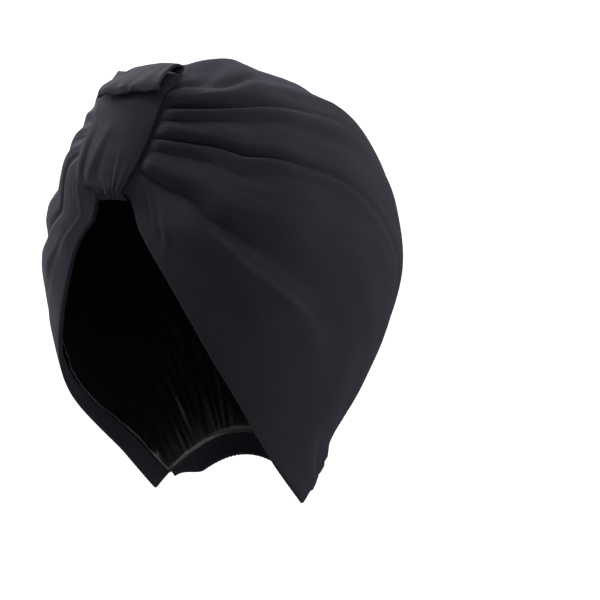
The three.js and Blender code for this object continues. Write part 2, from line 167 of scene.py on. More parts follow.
@dataclass(frozen=True)
class Shell:
    """The form that all the cloth follows, as the solids have it."""

    sections: tuple[Section, ...] = (
        Section(-241, 52, 50, 41),
        Section(-216, 55, 60, 49),
        Section(-200, 61, 77, 57),
        Section(-175, 73, 90, 76),
        Section(-145, 81, 95, 98),
        Section(-108, 85, 95, 115),
    )
    dome_level: float = -108.0
    dome_rise: float = 110.1
    dome_powers: tuple[float, float] = (2.1, 1.96)
    dome_blend: Run = (-50.0, 130.0)
    plan_powers: tuple[float, float] = (2.6, 2.0)
    stations: tuple[Station, ...] = (
        Station(0, -60, 0, -35, 66),
        Station(12, -86, 30, -54, 88),
        Station(23.2, -114, 52, -68, 114),
        Station(33.2, -144, 76, -82, 142),
        Station(44, -174, 104, -106, 171),
        Station(60, -204, 126, -152, 202),
        Station(95, -237, 138, -212, 244),
    )
    far_hem_shift: tuple[float, ...] = (0, 4.5, 1, -2, -1.5, 0, 0)
    hug_depth: float = 1.5
    hug_reach: float = 0.3
    widths: tuple[BundleWidth, ...] = (
        BundleWidth(0, 7.2, 13.5),
        BundleWidth(0.08, 9.6, 24.5),
        BundleWidth(0.2, 11, 28.4),
        BundleWidth(0.42, 14, 29.4),
        BundleWidth(0.68, 16.6, 27),
        BundleWidth(1, 17.6, 26.4),
    )
    bundle_y: tuple[float, float] = (-94.4, -76.4)
    bundle_z: tuple[float, float] = (-60.0, -10.0)
    recede: tuple[float, float] = (2.0, 5.0)
    bow: float = 1.25
    droop: float = 1.2
    corner: float = 12 / 14
    cap_start: float = 5.0
    cap_run: float = 14.0
    cap_rise: float = 0.38
    edge: float = 0.07
    merge_from: float = 0.063
    merge_low: float = 0.13
    merge_high: float = 0.27
    merge_right: float = 0.9
    ridge_reach: float = 300.0
    ridge_halvings: int = 40
    normal_step: float = 0.004

    def dome_power(self, y: np.ndarray) -> np.ndarray:
        """Give the dome's roundness, fuller in front than behind."""
        return lerp(*self.dome_powers, ease(y, self.dome_blend))

    def onto_body(self, points: np.ndarray) -> np.ndarray:
        """Move points outward onto the body.

        Args:
            points: Points with a last axis of 3.

        Returns:
            Their places on the body, level below the dome and from its middle above it.
        """
        x, y, z = points[..., 0], points[..., 1], points[..., 2]
        levels, *sizes = zip(*self.sections)
        low = np.minimum(z, self.dome_level)
        half, front, back = (curve_at(levels, column, low) for column in sizes)
        depth = np.where(y < 0, front, back)
        power = np.where(y < 0, *self.plan_powers)
        plan = (np.abs(x / half) ** power + np.abs(y / depth) ** power) ** (1 / power)
        plan = np.maximum(plan, 1e-6)
        rise = np.maximum(0, z - self.dome_level) / self.dome_rise
        dome = self.dome_power(y)
        scale = 1 / (plan**dome + rise**dome) ** (1 / dome)
        level = np.where(z > self.dome_level, lerp(self.dome_level, z, scale), z)
        return np.stack([x * scale, y * scale, level], -1)

    def body_point(self, azimuth: float, level: float) -> np.ndarray:
        """Give the body's point at an azimuth in degrees and a level."""
        turn = math.radians(azimuth)
        low = min(level, self.dome_level)
        rim = self.onto_body(np.array([math.sin(turn), -math.cos(turn), low]))
        rise = max(0.0, level - self.dome_level) / self.dome_rise
        dome = float(self.dome_power(rim[1]))
        shrink = (1 - rise**dome) ** (1 / dome)
        return np.array([rim[0] * shrink, rim[1] * shrink, level])

    def ridge_point(self, angle: float) -> np.ndarray:
        """Give the middle line's point at an angle over the top from straight ahead."""
        turn = math.radians(angle)
        near, far = 1.0, self.ridge_reach
        for _ in range(self.ridge_halvings):
            middle = (near + far) / 2
            y, z = -math.cos(turn) * middle, self.dome_level + math.sin(turn) * middle
            body = self.onto_body(np.array([0.0, y, z]))
            if abs(y) < abs(body[1]) or z < body[2]:
                near = middle
            else:
                far = middle
        return np.array([0, -math.cos(turn) * near, self.dome_level + math.sin(turn) * near])

    def guides(self, on_left: bool) -> tuple[np.ndarray, np.ndarray, np.ndarray]:
        """Give the guide points of one side's hem and side, and of the middle line."""
        rows = self.stations
        shifts = np.zeros(len(rows)) if on_left else self.far_hem_shift
        hem = np.array(
            [self.body_point(row.hem_azimuth + a, row.hem_level) for row, a in zip(rows, shifts)]
        )
        side = np.array([self.body_point(row.side_azimuth, row.side_level) for row in rows])
        ridge = np.array([self.ridge_point(row.ridge_angle) for row in rows])
        return hem, side, ridge

    def bundle_point(self, side: np.ndarray, share: np.ndarray, on_left: bool) -> np.ndarray:
        """Give a point of the squeezed bundle.

        Args:
            side: 0 at the bundle's middle and 1 at its edge.
            share: The way from the hem to the middle of the crown.
            on_left: Whether the point is on the wearer's left.

        Returns:
            Points whose x runs out from the middle.
        """
        up = np.minimum(1, share / self.corner)
        over = np.clip((share - self.corner) / (1 - self.corner), 0, 1) * (math.pi / 2)
        column = [row.left if on_left else row.right for row in self.widths]
        half = curve_at([row.up for row in self.widths], column, up)
        back = (self.cap_start + self.cap_run * side) * np.sin(over)
        recede = lerp(self.recede[0], self.recede[1], up) * side * side * np.cos(over)
        y = lerp(self.bundle_y[0], self.bundle_y[1], up**self.bow) + recede + back
        z = lerp(self.bundle_z[0], self.bundle_z[1], up) - self.droop * side * side * (1 - up)
        return np.stack([half * side * np.cos(over), y, z + self.cap_rise * back], -1)

    def point(self, along: np.ndarray, share: np.ndarray, on_left: bool) -> np.ndarray:
        """Give the cloth's inner surface, with x from the middle out.

        Args:
            along: The way from the knot to the nape.
            share: The way from the hem to the middle of the crown.
            on_left: Whether the points are on the wearer's left.

        Returns:
            Points in the shape of along and share, with a last axis of 3.
        """
        along, share = np.broadcast_arrays(np.asarray(along, float), np.asarray(share, float))
        hem, side, ridge = (chain(points, along) for points in GUIDES[on_left])
        t = share[..., None]
        arch = hem * (1 - t) * (1 - 2 * t) + side * 4 * t * (1 - t) + ridge * t * (2 * t - 1)
        body = self.onto_body(arch)
        hug = self.hug_depth * np.sin(math.pi * along) * (1 - smooth(share / self.hug_reach))
        reach = np.maximum(np.hypot(np.hypot(body[..., 0], body[..., 1]), 1), 1e-6)
        body[..., :2] *= (1 - hug / reach)[..., None]
        merge = lerp(self.merge_low, self.merge_high, smooth(2 * share))
        merge = merge * (1.0 if on_left else self.merge_right)
        bundle = self.bundle_point(along / self.edge, share, on_left)
        blend = smooth((along - self.merge_from) / (merge - self.merge_from))
        return lerp(bundle, body, blend[..., None])

    def side_normal(self, along: np.ndarray, share: np.ndarray, on_left: bool) -> np.ndarray:
        """Give the outward direction of one side of the cloth."""
        step = self.normal_step
        s = np.clip(along, step, 1 - step)
        t = np.clip(share, step, 1 - step)
        forward = self.point(s + step, t, on_left) - self.point(s - step, t, on_left)
        upward = self.point(s, t + step, on_left) - self.point(s, t - step, on_left)
        return unit(np.cross(forward, upward))

    def normal(self, along: np.ndarray, share: np.ndarray, on_left: bool) -> np.ndarray:
        """Give the outward direction, shared by both sides on the middle lines."""
        own = self.side_normal(along, share, on_left)
        both = own + self.side_normal(along, share, not on_left)
        both[..., 0] = 0
        shared = (np.asarray(along) <= 0) | (np.asarray(share) >= 1)
        return np.where(shared[..., None], unit(both), own)

    def lifted(
        self, along: np.ndarray, share: np.ndarray, height: np.ndarray, on_left: bool
    ) -> np.ndarray:
        """Give the points at a height above the cloth's inner surface."""
        out = self.normal(along, share, on_left)
        return self.point(along, share, on_left) + out * np.asarray(height)[..., None]


SHELL = Shell()
GUIDES: dict[bool, tuple[np.ndarray, ...]] = {side: SHELL.guides(side) for side in (True, False)}


# Folds


class Fold(NamedTuple):
    """A crest or valley line: its path and its lift at the four places along the cloth."""

    path: tuple[float, float, float, float]
    lift: tuple[float, float, float, float]


NEAR_FOLDS: dict[str, Fold] = {
    "hem": Fold((0, 0, 0, 0), (0.3, 0, 0, 0)),
    "hem_panel": Fold((0.1, 0.12, 0.1, 0.1), (1.2, 1, 1.2, 1)),
    "low_ridge": Fold((0.16, 0.288, 0.236, 0.2), (2, 4.2, 4.4, 1.4)),
    "deep_valley": Fold((0.2, 0.348, 0.325, 0.27), (-1.2, -1.5, -0.8, 1.2)),
    "broad_bulge": Fold((0.28, 0.425, 0.485, 0.46), (5.6, 6.8, 4.6, 2.2)),
    "under_valley": Fold((0.39, 0.535, 0.615, 0.59), (1.6, 2, 3, 2.1)),
    "thin_ridge": Fold((0.462, 0.588, 0.64, 0.62), (3.8, 4.2, 3.7, 2.2)),
    "split_valley": Fold((0.495, 0.61, 0.652, 0.645), (-0.4, 0.2, 2.8, 2.1)),
    "upper_ridge": Fold((0.562, 0.642, 0.668, 0.67), (5.2, 5.8, 4.4, 2.4)),
    "shallow_valley": Fold((0.65, 0.708, 0.738, 0.72), (1.6, 2.8, 3.3, 2.1)),
    "top_ridge": Fold((0.72, 0.742, 0.771, 0.77), (4.8, 5.2, 4.1, 2.4)),
    "black_valley": Fold((0.755, 0.757, 0.79, 0.81), (-0.6, 0.2, 2.8, 2.1)),
    "crown_pleat": Fold((0.85, 0.808, 0.822, 0.87), (4.8, 4.6, 2.4, 2.5)),
    "peak_valley": Fold((0.89, 0.862, 0.885, 0.94), (0.8, 1.4, 0.2, 2.4)),
    "middle": Fold((1, 1, 1, 1), (1, 2, -1, 2.8)),
}
FAR_FOLDS: dict[str, Fold] = {
    "hem": Fold((0, 0, 0, 0), (0.3, 0, 0, 0)),
    "hem_panel": Fold((0.12, 0.11, 0.1, 0.1), (0.8, 1, 1.2, 1)),
    "low_ridge": Fold((0.25, 0.25, 0.21, 0.2), (0.6, 1.4, 3, 1.4)),
    "deep_valley": Fold((0.31, 0.31, 0.3, 0.29), (-2, -1.8, 0.4, 1.2)),
    "broad_bulge": Fold((0.4, 0.41, 0.42, 0.43), (0, 0.8, 4.4, 2.8)),
    "under_valley": Fold((0.475, 0.49, 0.51, 0.52), (-2.6, -1.8, 1.8, 2)),
    "thin_ridge": Fold((0.55, 0.56, 0.57, 0.57), (0.2, 0.4, 3.4, 2.4)),
    "split_valley": Fold((0.62, 0.62, 0.625, 0.63), (-2.4, -1.8, 1.4, 2)),
    "upper_ridge": Fold((0.69, 0.685, 0.68, 0.68), (0, 0.6, 3.8, 2.8)),
    "shallow_valley": Fold((0.75, 0.74, 0.735, 0.74), (-1.8, -1.4, 1.6, 1.8)),
    "top_ridge": Fold((0.81, 0.79, 0.785, 0.79), (0, 0.8, 3.4, 2.8)),
    "black_valley": Fold((0.86, 0.84, 0.83, 0.84), (-1.6, -1, 1.2, 1.8)),
    "crown_pleat": Fold((0.92, 0.895, 0.88, 0.89), (0.2, 1, 1.6, 2.5)),
    "peak_valley": Fold((0.965, 0.95, 0.94, 0.95), (0, 1, -0.6, 2.4)),
    "middle": Fold((1, 1, 1, 1), (1, 2, -1, 2.8)),
}
FOLDS: dict[bool, dict[str, Fold]] = {True: NEAR_FOLDS, False: FAR_FOLDS}
LINES = len(NEAR_FOLDS) - 1
FOLD_PLACES = (0.08, 0.2, 0.42, 0.78)
FOLD_START = 0.066
FOLD_RISE = 0.03
FOLD_FLOOR = -1.5
FOLD_STEEP = 2.0  # rise between two lines at which crests are fullest
FOLD_ROUND = 0.8
TUCKED = (3, 7, 11, 13)
TUCK_DEPTH = 0.8
TUCK_WIDTH = 0.17
TUCK_FADE = 0.95
TUCK_RUN = (0.12, 0.3)
CREASE_FADE = 0.7
SHORTEST_WAVE = 0.45


class Crease(NamedTuple):
    """A soft crease between two places on the cloth, each an along and a share."""

    start: tuple[float, float]
    end: tuple[float, float]
    width: float
    lift: float


NEAR_CREASES = (
    Crease((0.10, 0.19), (0.203, 0.05), 0.009, -1.1),
    Crease((0.13, 0.20), (0.24, 0.02), 0.010, 0.9),
    Crease((0.075, 0.16), (0.14, 0.07), 0.009, -0.9),
    Crease((0.22, 0.19), (0.37, 0.08), 0.010, -0.35),
    Crease((0.20, 0.25), (0.40, 0.18), 0.012, 0.4),
    Crease((0.34, 0.17), (0.56, 0.11), 0.014, -0.4),
    Crease((0.18, 0.310), (0.43, 0.238), 0.010, 0.9),
    Crease((0.20, 0.336), (0.45, 0.262), 0.014, -0.9),
    Crease((0.36, 0.250), (0.70, 0.222), 0.010, 0.9),
    Crease((0.38, 0.276), (0.68, 0.250), 0.016, -0.9),
    Crease((0.21, 0.945), (0.43, 0.88), 0.050, -2.2),
    Crease((0.38, 0.83), (0.58, 0.85), 0.045, 1.8),
    Crease((0.095, 0.885), (0.185, 0.975), 0.012, -1.5),
    Crease((0.12, 0.985), (0.24, 0.985), 0.016, 1.1),
    Crease((0.13, 0.62), (0.36, 0.70), 0.008, -0.35),
    Crease((0.16, 0.69), (0.40, 0.715), 0.006, -0.4),
    Crease((0.20, 0.50), (0.42, 0.53), 0.008, -0.3),
)


def at_lines(
    values: np.ndarray, column: np.ndarray
) -> tuple[np.ndarray, np.ndarray, np.ndarray]:
    """Read what the fold lines below and above each place hold there.

    Args:
        values: Lines by rows by columns.
        column: Places counted in fold lines, rows by columns.

    Returns:
        The lower line's value, the upper line's value and the way between them.
    """
    i = np.clip(np.floor(column).astype(int), 0, LINES - 1)
    j, k = np.ogrid[: column.shape[0], : column.shape[1]]
    return values[i, j, k], values[i + 1, j, k], column - i


def fold_shares(folds: dict[str, Fold], column: np.ndarray, along: np.ndarray) -> np.ndarray:
    """Give the share of the way up of a column, counted in fold lines, at a place along."""
    paths = np.stack([curve_at(FOLD_PLACES, row.path, along) for row in folds.values()])
    path = lerp(*at_lines(paths, column))
    return lerp(column / LINES, path, smooth(along / SHELL.edge))


def fold_lift(folds: dict[str, Fold], column: np.ndarray, along: np.ndarray) -> np.ndarray:
    """Give the height of the folds above the base surface.

    Valleys are tight and crests are full, as in cloth gathered under a band.

    Args:
        folds: The fold lines from the hem to the middle.
        column: Places counted in fold lines.
        along: Places from the knot to the nape.

    Returns:
        Heights in millimetres.
    """
    lifts = np.stack([curve_at(FOLD_PLACES, row.lift, along) for row in folds.values()])
    low, high, u = at_lines(lifts, column)
    rising = np.clip((high - low) / FOLD_STEEP, -1, 1)
    full = np.where(rising > 0, np.sin(u * math.pi / 2), 1 - np.cos(u * math.pi / 2))
    height = lerp(low, high, lerp(smooth(u), full, FOLD_ROUND * np.abs(rising)))
    tuck = sum(bell((column - valley) / TUCK_WIDTH) for valley in TUCKED)
    return height - TUCK_DEPTH * tuck * (1 - TUCK_FADE * ease(along, TUCK_RUN))


def crease_lift(creases: Sequence[Crease], along: np.ndarray, share: np.ndarray) -> np.ndarray:
    """Sum the soft creases, each fading towards its ends."""
    total = np.zeros_like(along)
    for crease in creases:
        start, end = np.array(crease.start), np.array(crease.end)
        run = end - start
        length = float(np.linalg.norm(run))
        direction = run / length
        s, t = along - start[0], share - start[1]
        ahead = (s * direction[0] + t * direction[1]) / length
        aside = s * direction[1] - t * direction[0]
        fade = np.sin(np.clip(ahead, 0, 1) * math.pi) ** CREASE_FADE
        total += crease.lift * fade * bell(aside / crease.width)
    return total


class Waves(NamedTuple):
    """Gentle waves of fixed random directions: what fixes them, how many, and the longest."""

    seed: int
    count: int
    longest: float


def ripples(u: np.ndarray, v: np.ndarray, waves: Waves, far: bool = False) -> np.ndarray:
    """Sum a few gentle waves, about -1 to 1.

    Args:
        u: First coordinate in millimetres.
        v: Second coordinate in millimetres.
        waves: The waves.
        far: Whether to take the far side's own set.

    Returns:
        The sum, in the shape of u.
    """
    rng = np.random.default_rng(waves.seed + far)
    total = np.zeros_like(u)
    for _ in range(waves.count):
        angle, phase = rng.uniform(0, math.tau, 2)
        length = waves.longest * rng.uniform(SHORTEST_WAVE, 1.0)
        total += np.sin((u * math.cos(angle) + v * math.sin(angle)) * math.tau / length + phase)
    return total / math.sqrt(waves.count)


class Gathers(NamedTuple):
    """An uneven row of gathers: a wave that wanders, and a smaller wave over it."""

    pace: float
    wander: float
    wander_pace: float
    second: float = 0.0
    second_pace: float = 1.0
    second_phase: float = 0.0

    def height(self, place: np.ndarray) -> np.ndarray:
        """Give the height of the gathers at a place."""
        phase = place * self.pace
        wave = np.sin(phase + self.wander * np.sin(place * self.wander_pace))
        return wave + self.second * np.sin(phase * self.second_pace + self.second_phase)


# Meshes from grids

EDGE_THINNEST = 0.12
MERGE_METRES = 2e-6


@dataclass
class ClothGrid:
    """A sheet drawn as a grid of points in millimetres, and how thick it is.

    Attributes:
        name: The piece's name.
        points: Rows by columns by 3, with outward = (next row) x (next column).
        wall: Thickness.
        weld: Whether touching edges of the sheet are joined.
        thin: Thickness factor per point, 1 where full.
        arcs: Running lengths along the rows' axis and along the columns' axis.
    """

    name: str
    points: np.ndarray
    wall: float
    weld: bool = False
    thin: Optional[np.ndarray] = None
    arcs: tuple[np.ndarray, np.ndarray] = field(init=False)

    def __post_init__(self) -> None:
        """Measure the sheet along its rows and columns, for its UV map."""
        along = np.linalg.norm(np.diff(self.points, axis=0), axis=-1)
        across = np.linalg.norm(np.diff(self.points, axis=1), axis=-1)
        start = np.zeros((1, self.points.shape[1]))
        self.arcs = (
            np.vstack([start, np.cumsum(along, axis=0)]),
            np.hstack([np.zeros((self.points.shape[0], 1)), np.cumsum(across, axis=1)]),
        )

    def round_edges(self, sides: float, first: float, last: float) -> None:
        """Thin the wall towards the sheet's edges, so that they end round.

        Args:
            sides: How far in the rounding reaches from the first and last columns.
            first: How far in it reaches from the first row.
            last: How far in it reaches from the last row.
        """
        self.thin = np.ones(self.points.shape[:2])
        for axis, reaches in ((1, (sides, sides)), (0, (first, last))):
            arc = self.arcs[axis]
            total = np.take(arc, [-1], axis=axis)
            for reach, depth in zip(reaches, (arc, total - arc)):
                near = 1 - np.clip(depth / reach, 0, 1)
                self.thin *= np.sqrt(np.maximum(0, 1 - near * near))

    def flat_size(self) -> tuple[float, float]:
        """Give the sheet's mean width and its length, in metres."""
        falling = self.points[1:, 1:] - self.points[:-1, :-1]
        rising = self.points[1:, :-1] - self.points[:-1, 1:]
        area = float(np.linalg.norm(np.cross(falling, rising), axis=-1).sum() / 2) * MM * MM
        length = float(self.arcs[0][-1].max()) * MM
        return area / length, length

    def build(self) -> bpy.types.Object:
        """Make the mesh from a primitive grid, set its shape, and give it its wall.

        Returns:
            The finished object, at the origin.
        """
        rows, columns = self.points.shape[:2]
        deselect()
        bpy.ops.mesh.primitive_grid_add(
            x_subdivisions=columns - 1, y_subdivisions=rows - 1, size=1, calc_uvs=True
        )
        piece = bpy.context.active_object
        mesh = piece.data
        piece.name = mesh.name = self.name
        mesh.vertices.foreach_set("co", (self.points * MM).astype(np.float32).ravel())
        uv = np.stack([self.arcs[1], self.arcs[0]], -1).reshape(-1, 2) * MM
        corner = np.empty(len(mesh.loops), np.int32)
        mesh.loops.foreach_get("vertex_index", corner)
        mesh.uv_layers.active.data.foreach_set("uv", uv[corner].astype(np.float32).ravel())
        mesh.update()
        bpy.ops.object.mode_set(mode="EDIT")
        bpy.ops.mesh.select_all(action="SELECT")
        bpy.ops.mesh.flip_normals()
        if self.weld:
            bpy.ops.mesh.remove_doubles(threshold=MERGE_METRES)
        bpy.ops.object.mode_set(mode="OBJECT")
        wall = piece.modifiers.new("wall", "SOLIDIFY")
        wall.thickness = self.wall * MM
        wall.offset = 0.0
        if self.thin is not None:
            group = piece.vertex_groups.new(name="wall")
            for index, weight in enumerate(self.thin.ravel()):
                group.add([index], float(weight), "REPLACE")
            wall.vertex_group = group.name
            wall.thickness_vertex_group = EDGE_THINNEST
        bpy.ops.object.modifier_apply(modifier=wall.name)
        bpy.ops.object.shade_smooth()
        piece.vertex_groups.clear()
        return piece


def spaced(count: int, closer: float) -> np.ndarray:
    """Give count + 1 places from 0 to 1, closer together at both ends by a share."""
    even = np.linspace(0, 1, count + 1)
    return lerp(even, (1 - np.cos(even * math.pi)) / 2, closer)


def deselect() -> None:
    """Leave nothing selected."""
    bpy.ops.object.select_all(action="DESELECT")


# Finishes

WHITE = (1.0, 1.0, 1.0, 1.0)
JERSEY_SLANT = 0.35
SHEEN_TINT = (0.70, 0.69, 0.92, 1.0)
SATIN_STRETCH = 0.6
BUMP_STRENGTH = 0.6
COURSE_SHARE = 0.5  # height of the courses beside the wales
FIBRE_SHARE = 0.6  # height of the loose fibres beside them
FIBRES = (2600.0, 3.0)  # scale and detail of each noise
PATCHES = (22.0, 2.0)
SPECKS = (700.0, 4.0)
PATCH_SHARE = 0.65
TONE_SPREAD = (1.1, -0.45)  # gain and shift from the mixed masks to the tone


class Knit(Enum):
    """Kinds of knitted or woven surface."""

    JERSEY = "jersey"
    SATIN = "satin"


class Wiring:
    """Short calls that add and join shader nodes in one tree."""

    def __init__(self, tree: bpy.types.NodeTree) -> None:
        """Start on a tree."""
        self.tree = tree

    def add(self, kind: str, **values: object) -> bpy.types.Node:
        """Add a node and set its plain properties."""
        node = self.tree.nodes.new(kind)
        for name, value in values.items():
            setattr(node, name, value)
        return node

    def feed(self, target: bpy.types.NodeSocket, source: object) -> None:
        """Join a socket to a target, or set the target's value."""
        if isinstance(source, bpy.types.NodeSocket):
            self.tree.links.new(source, target)
        else:
            target.default_value = source

    def fill(self, node: bpy.types.Node, sources: dict[str, object]) -> None:
        """Feed a node's inputs by name."""
        for name, source in sources.items():
            self.feed(node.inputs[name], source)

    def math(self, operation: str, *sources: object, clamp: bool = False) -> bpy.types.NodeSocket:
        """Add a Math node over sockets and numbers and give its output."""
        node = self.add("ShaderNodeMath", operation=operation, use_clamp=clamp)
        for socket, source in zip(node.inputs, sources):
            self.feed(socket, source)
        return node.outputs[0]

    def noise(
        self, vector: bpy.types.NodeSocket, scale: float, detail: float
    ) -> bpy.types.NodeSocket:
        """Add a noise texture and give its value."""
        node = self.add("ShaderNodeTexNoise")
        self.fill(node, {"Vector": vector, "Scale": scale, "Detail": detail})
        return node.outputs["Fac"]

    def blend(
        self, share: bpy.types.NodeSocket, low: Sequence[float], high: Sequence[float]
    ) -> bpy.types.NodeSocket:
        """Blend two colours by a share."""
        node = self.add("ShaderNodeMix", data_type="RGBA")
        self.fill(node, {"Factor": share, "A": (*low, 1.0), "B": (*high, 1.0)})
        return node.outputs["Result"]


def start_group(
    name: str, numbers: dict[str, float], outputs: Sequence[str]
) -> tuple[Wiring, bpy.types.Node, bpy.types.Node]:
    """Start a shader group that takes a vector and numbers and gives numbers.

    Args:
        name: The group's name.
        numbers: Its number inputs and their usual values.
        outputs: The names of its outputs.

    Returns:
        The group's wiring, its input node and its output node.
    """
    tree = bpy.data.node_groups.new(name, "ShaderNodeTree")
    sockets = tree.interface
    sockets.new_socket(name="Vector", in_out="INPUT", socket_type="NodeSocketVector")
    for label, value in numbers.items():
        socket = sockets.new_socket(name=label, in_out="INPUT", socket_type="NodeSocketFloat")
        socket.default_value = value
    for label in outputs:
        sockets.new_socket(name=label, in_out="OUTPUT", socket_type="NodeSocketFloat")
    wires = Wiring(tree)
    return wires, wires.add("NodeGroupInput"), wires.add("NodeGroupOutput")


def knit_group() -> bpy.types.NodeTree:
    """Make the group that draws knitted stitches or fine weave.

    Returns:
        A group from a vector in metres and two pitches to a height and a fibre mask.
    """
    name = "stitch_surface"
    if name in bpy.data.node_groups:
        return bpy.data.node_groups[name]
    pitches = {"Across per metre": 1500.0, "Along per metre": 1800.0, "Slant": JERSEY_SLANT}
    wires, enter, leave = start_group(name, pitches, ("Height", "Fibre"))
    split = wires.add("ShaderNodeSeparateXYZ")
    wires.feed(split.inputs[0], enter.outputs["Vector"])
    across = wires.math("MULTIPLY", split.outputs["X"], enter.outputs["Across per metre"])
    along = wires.math("MULTIPLY", split.outputs["Y"], enter.outputs["Along per metre"])
    wale = wires.math("PINGPONG", across, 0.5)
    slanted = wires.math("ADD", along, wires.math("MULTIPLY", wale, enter.outputs["Slant"]))
    column = wires.math("SINE", wires.math("MULTIPLY", wale, math.tau))
    course = wires.math("SINE", wires.math("MULTIPLY", slanted, math.tau))
    height = wires.math("MULTIPLY_ADD", course, COURSE_SHARE, column)
    fibre = wires.noise(enter.outputs["Vector"], *FIBRES)
    rough = wires.math("MULTIPLY_ADD", fibre, FIBRE_SHARE, height)
    wires.fill(leave, {"Height": rough, "Fibre": fibre})
    return wires.tree


def patch_group() -> bpy.types.NodeTree:
    """Make the group that varies a cloth's tone softly.

    Returns:
        A group from a vector in metres to a slow and a fine mask.
    """
    name = "cloth_tone"
    if name in bpy.data.node_groups:
        return bpy.data.node_groups[name]
    wires, enter, leave = start_group(name, {}, ("Slow", "Fine"))
    vector = enter.outputs["Vector"]
    slow, fine = (wires.noise(vector, *grain) for grain in (PATCHES, SPECKS))
    wires.fill(leave, {"Slow": slow, "Fine": fine})
    return wires.tree


@dataclass(frozen=True)
class ClothFinish:
    """A cloth's colour, gloss and surface.

    Attributes:
        name: The material's name.
        knit: Which surface it has.
        dark: Colour in its darker patches.
        light: Colour in its lighter patches.
        roughness: Lowest and highest roughness.
        sheen: Weight of the soft fuzz.
        sheen_roughness: How widely the fuzz glows.
        specular: Strength of the plain reflection.
        across: Stitches per metre across.
        along: Stitches per metre along.
        relief: Depth of the stitches in metres.
    """

    name: str
    knit: Knit
    dark: tuple[float, float, float]
    light: tuple[float, float, float]
    roughness: tuple[float, float]
    sheen: float
    sheen_roughness: float
    specular: float
    across: float
    along: float
    relief: float

    def make(self) -> bpy.types.Material:
        """Build the material, or give the one already built."""
        if self.name in bpy.data.materials:
            return bpy.data.materials[self.name]
        material = bpy.data.materials.new(self.name)
        material.use_nodes = True
        wires = Wiring(material.node_tree)
        knitted = self.knit is Knit.JERSEY
        stitches = wires.add("ShaderNodeGroup", node_tree=knit_group())
        pitches = {"Across per metre": self.across, "Along per metre": self.along}
        wires.fill(stitches, {"Vector": wires.add("ShaderNodeUVMap").outputs["UV"], **pitches})
        wires.fill(stitches, {"Slant": JERSEY_SLANT if knitted else 0.0})
        tone = wires.add("ShaderNodeGroup", node_tree=patch_group())
        wires.fill(tone, {"Vector": wires.add("ShaderNodeTexCoord").outputs["Object"]})
        slow, fibre = tone.outputs["Slow"], stitches.outputs["Fibre"]
        mixed = wires.math("MULTIPLY_ADD", slow, PATCH_SHARE, fibre)
        share = wires.math("MULTIPLY_ADD", mixed, *TONE_SPREAD, clamp=True)
        low, high = self.roughness
        bump = wires.add("ShaderNodeBump")
        wires.fill(bump, {"Strength": BUMP_STRENGTH, "Distance": self.relief})
        wires.fill(bump, {"Height": stitches.outputs["Height"]})
        shader = material.node_tree.nodes["Principled BSDF"]
        wires.fill(
            shader,
            {
                "Base Color": wires.blend(share, self.dark, self.light),
                "Roughness": wires.math("MULTIPLY_ADD", tone.outputs["Fine"], high - low, low),
                "Normal": bump.outputs["Normal"],
                "Sheen Weight": self.sheen,
                "Sheen Roughness": self.sheen_roughness,
                "Sheen Tint": SHEEN_TINT,
                "Specular IOR Level": self.specular,
                "Anisotropic": 0.0 if knitted else SATIN_STRETCH,
            },
        )
        return material


JERSEY = ClothFinish(
    name="jersey",
    knit=Knit.JERSEY,
    dark=(0.0095, 0.0090, 0.0148),
    light=(0.0166, 0.0156, 0.0250),
    roughness=(0.66, 0.84),
    sheen=0.12,
    sheen_roughness=0.45,
    specular=0.24,
    across=1500.0,
    along=1850.0,
    relief=0.00009,
)
SATIN = ClothFinish(
    name="satin",
    knit=Knit.SATIN,
    dark=(0.0050, 0.0050, 0.0060),
    light=(0.0090, 0.0090, 0.0105),
    roughness=(0.24, 0.36),
    sheen=0.0,
    sheen_roughness=0.3,
    specular=0.6,
    across=5200.0,
    along=2600.0,
    relief=0.00002,
)


# The cloth pieces


def both_sides(half: Callable[[bool], np.ndarray]) -> np.ndarray:
    """Join the near half of a sheet to its mirrored far half at the middle line."""
    near, far = half(True), half(False)[:, ::-1].copy()
    near[:, -1, 0] = 0
    far[..., 0] *= -1
    return np.concatenate([near, far[:, 1:]], axis=1)


class ClothPiece:
    """A piece of cloth: its name, the solid it replaces, its finish and how it is held."""

    name: ClassVar[str]
    node: ClassVar[str]
    finish: ClassVar[ClothFinish] = JERSEY
    held: ClassVar[str]
    rests_on: ClassVar[list[str]]

    def grid(self) -> ClothGrid:
        """Draw the sheet."""
        raise NotImplementedError

    def build(self) -> None:
        """Make the piece, dress it, hang it on the body, hide the solid it replaces and log its
        size.
        """
        grid = self.grid()
        piece = grid.build()
        piece.data.materials.clear()
        piece.data.materials.append(self.finish.make())
        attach(piece, BODY)
        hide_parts(self.node)
        width, length = grid.flat_size()
        list(self.rests_on)
        count = len(piece.data.polygons)
        LOG.info("%s: %d faces, flat %.3f by %.3f m", piece.name, count, width, length)


